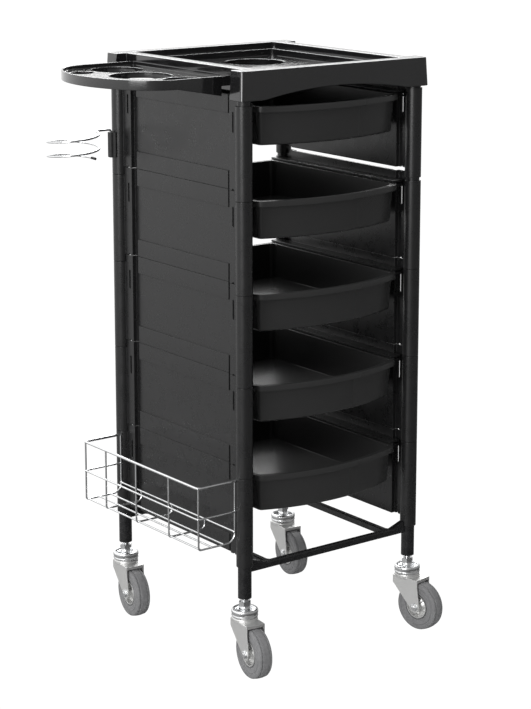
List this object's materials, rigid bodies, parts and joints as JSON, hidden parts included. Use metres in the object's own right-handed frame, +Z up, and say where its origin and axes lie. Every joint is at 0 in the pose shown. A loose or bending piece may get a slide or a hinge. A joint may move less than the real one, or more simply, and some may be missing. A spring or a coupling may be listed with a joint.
{
  "type": "rolling salon trolley",
  "caption": "Tall black salon trolley on swivel castors with sliding bow-front trays, lift-out top tray, side shelf, wire basket and coil dryer holder.",
  "frame": {"origin": "on the floor, under the middle of the whole trolley's bounding box, side shelf and castors included", "axes": "+X to the right along the open front, +Y from the front to the back, +Z up"},
  "size_m": [0.5038, 0.4188, 0.88],
  "materials": {
    "black_steel": "black powder coat, semi-gloss",
    "black_insert": "moulded nylon plug",
    "module_plastic": "black moulded plastic, satin",
    "gloss_top_plastic": "black moulded plastic, polished",
    "tray_plastic": "black moulded plastic, gloss",
    "clip_plastic": "black nylon snap clip",
    "chrome_wire": "bright chrome-plated wire",
    "grey_tyre": "non-marking grey rubber",
    "ball_steel": "polished bearing balls",
    "bright_fastener": "zinc-plated fasteners",
    "zinc_plate": "bright zinc-plated pressed steel"
  },
  "bodies": {
    "trolley": {"leg_front_left": "black_steel", "leg_front_right": "black_steel", "leg_back_left": "black_steel", "leg_back_right": "black_steel", "leg_inserts": "black_insert", "side_module_left_1": "module_plastic", "side_module_right_1": "module_plastic", "side_module_left_2": "module_plastic", "side_module_right_2": "module_plastic", "side_module_left_3": "module_plastic", "side_module_right_3": "module_plastic", "side_module_left_4": "module_plastic", "side_module_right_4": "module_plastic", "side_module_left_5": "module_plastic", "side_module_right_5": "module_plastic", "base_bar_front": "black_steel", "base_bar_back": "black_steel", "base_bar_left": "black_steel", "base_bar_right": "black_steel", "top_frame": "gloss_top_plastic", "wire_basket": "chrome_wire", "castor_nuts": "bright_fastener", "castor_front_left_race": "zinc_plate", "castor_front_left_stem": "bright_fastener", "castor_front_right_race": "zinc_plate", "castor_front_right_stem": "bright_fastener", "castor_back_left_race": "zinc_plate", "castor_back_left_stem": "bright_fastener", "castor_back_right_race": "zinc_plate", "castor_back_right_stem": "bright_fastener"},
    "top_tray": {"top_tray": "gloss_top_plastic"},
    "side_shelf": {"side_shelf": "gloss_top_plastic"},
    "dryer_holder": {"dryer_clip": "clip_plastic", "dryer_ring": "chrome_wire"},
    "tray_1": {"tray_1": "tray_plastic"},
    "tray_2": {"tray_2": "tray_plastic"},
    "tray_3": {"tray_3": "tray_plastic"},
    "tray_4": {"tray_4": "tray_plastic"},
    "tray_5": {"tray_5": "tray_plastic"},
    "castor_front_left_swivel": {"castor_front_left_fork": "zinc_plate", "castor_front_left_axle": "bright_fastener", "castor_front_left_balls": "ball_steel"},
    "castor_front_left_wheel": {"castor_front_left_hub": "zinc_plate", "castor_front_left_tyre": "grey_tyre"},
    "castor_front_right_swivel": {"castor_front_right_fork": "zinc_plate", "castor_front_right_axle": "bright_fastener", "castor_front_right_balls": "ball_steel"},
    "castor_front_right_wheel": {"castor_front_right_hub": "zinc_plate", "castor_front_right_tyre": "grey_tyre"},
    "castor_back_left_swivel": {"castor_back_left_fork": "zinc_plate", "castor_back_left_axle": "bright_fastener", "castor_back_left_balls": "ball_steel"},
    "castor_back_left_wheel": {"castor_back_left_hub": "zinc_plate", "castor_back_left_tyre": "grey_tyre"},
    "castor_back_right_swivel": {"castor_back_right_fork": "zinc_plate", "castor_back_right_axle": "bright_fastener", "castor_back_right_balls": "ball_steel"},
    "castor_back_right_wheel": {"castor_back_right_hub": "zinc_plate", "castor_back_right_tyre": "grey_tyre"}
  },
  "joints": [
    {"name": "tray_1_slide", "type": "slide", "parent": "trolley", "child": "tray_1", "axis": [0, -1, 0], "range_m": [0, 0.26]},
    {"name": "tray_2_slide", "type": "slide", "parent": "trolley", "child": "tray_2", "axis": [0, -1, 0], "range_m": [0, 0.26]},
    {"name": "tray_3_slide", "type": "slide", "parent": "trolley", "child": "tray_3", "axis": [0, -1, 0], "range_m": [0, 0.26]},
    {"name": "tray_4_slide", "type": "slide", "parent": "trolley", "child": "tray_4", "axis": [0, -1, 0], "range_m": [0, 0.26]},
    {"name": "tray_5_slide", "type": "slide", "parent": "trolley", "child": "tray_5", "axis": [0, -1, 0], "range_m": [0, 0.26]},
    {"name": "top_tray_lift", "type": "slide", "parent": "trolley", "child": "top_tray", "axis": [0, 0, 1], "range_m": [0, 0.06]},
    {"name": "side_shelf_lift", "type": "slide", "parent": "trolley", "child": "side_shelf", "axis": [0, 0, 1], "range_m": [0, 0.045]},
    {"name": "dryer_holder_swing", "type": "hinge", "parent": "trolley", "child": "dryer_holder", "pos_m": [-0.0844, 0.16934, 0.742], "axis": [0, 0, 1], "range_deg": [-90, 0]},
    {"name": "castor_front_left_turn", "type": "hinge", "parent": "trolley", "child": "castor_front_left_swivel", "pos_m": [-0.0844, -0.14466, 0.0786], "axis": [0, 0, 1], "continuous": true},
    {"name": "castor_front_left_roll", "type": "hinge", "parent": "castor_front_left_swivel", "child": "castor_front_left_wheel", "pos_m": [-0.08769, -0.17145, 0.0375], "axis": [0.9925, -0.1219, 0], "continuous": true},
    {"name": "castor_front_right_turn", "type": "hinge", "parent": "trolley", "child": "castor_front_right_swivel", "pos_m": [0.2276, -0.14466, 0.0786], "axis": [0, 0, 1], "continuous": true},
    {"name": "castor_front_right_roll", "type": "hinge", "parent": "castor_front_right_swivel", "child": "castor_front_right_wheel", "pos_m": [0.23229, -0.17125, 0.0375], "axis": [0.9848, 0.1736, 0], "continuous": true},
    {"name": "castor_back_left_turn", "type": "hinge", "parent": "trolley", "child": "castor_back_left_swivel", "pos_m": [-0.0844, 0.16934, 0.0786], "axis": [0, 0, 1], "continuous": true},
    {"name": "castor_back_left_roll", "type": "hinge", "parent": "castor_back_left_swivel", "child": "castor_back_left_wheel", "pos_m": [-0.08769, 0.14255, 0.0375], "axis": [0.9925, -0.1219, 0], "continuous": true},
    {"name": "castor_back_right_turn", "type": "hinge", "parent": "trolley", "child": "castor_back_right_swivel", "pos_m": [0.2276, 0.16934, 0.0786], "axis": [0, 0, 1], "continuous": true},
    {"name": "castor_back_right_roll", "type": "hinge", "parent": "castor_back_right_swivel", "child": "castor_back_right_wheel", "pos_m": [0.22431, 0.14255, 0.0375], "axis": [0.9925, -0.1219, 0], "continuous": true}
  ]
}
